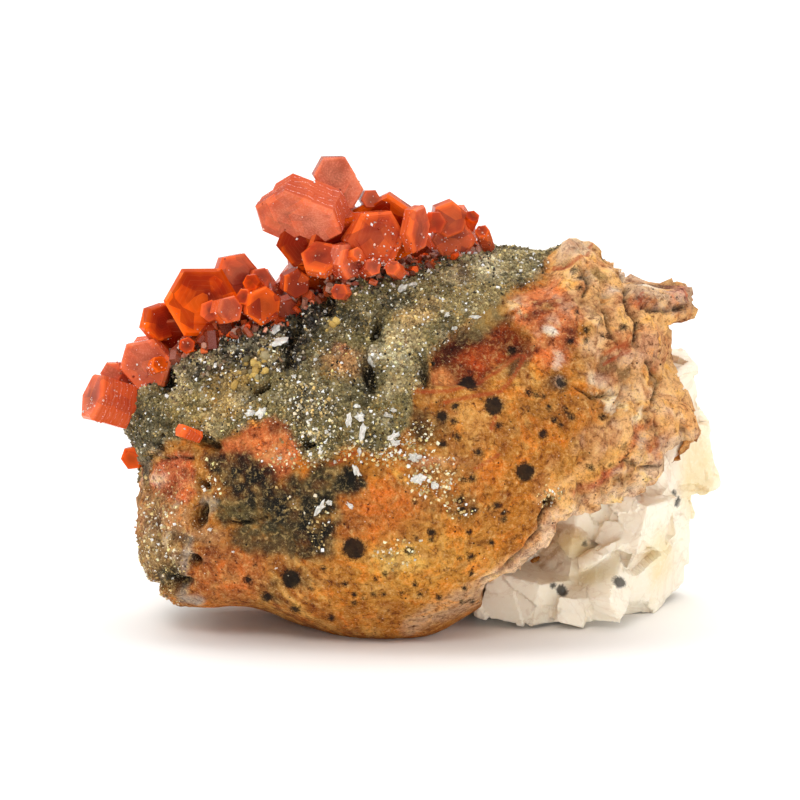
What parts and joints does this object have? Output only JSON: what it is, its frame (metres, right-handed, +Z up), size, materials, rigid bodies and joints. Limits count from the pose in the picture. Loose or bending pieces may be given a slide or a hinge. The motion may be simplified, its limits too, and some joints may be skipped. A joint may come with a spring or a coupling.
{
  "type": "vanadinite on matrix",
  "caption": "Loose mineral specimen for display: clusters of tabular hexagonal crystals along the upper edge of a druse-crusted, iron-stained rock with white barite at its lower right.",
  "frame": {"origin": "middle of the box's underside, on the surface that the specimen rests on", "axes": "+Z up, +X to the right and -Y towards the viewer of the crystals' front, so the crystals stand at the upper left"},
  "size_m": [0.05, 0.0266, 0.0374],
  "materials": {
    "matrix": "rough ochre and rust-brown stone with dark spots",
    "barite": "creamy white, slightly translucent cleavage faces",
    "vanadinite": "deep orange-red, glossy and slightly translucent",
    "druse": "sparkling khaki to grey-green crystal grains",
    "flakes": "pearly white and grey mineral flakes",
    "botryoid": "dull mustard beads"
  },
  "bodies": {
    "root": {"matrix_rock": "matrix", "barite": "barite", "vanadinite_crest": "vanadinite", "vanadinite_brow": "vanadinite", "vanadinite_shoulder": "vanadinite", "vanadinite_slope": "vanadinite", "vanadinite_edge": "vanadinite", "vanadinite_niche": "vanadinite", "vanadinite_rear_crest": "vanadinite", "vanadinite_rear_shoulder": "vanadinite", "vanadinite_rear_slope": "vanadinite"}
  },
  "joints": []
}
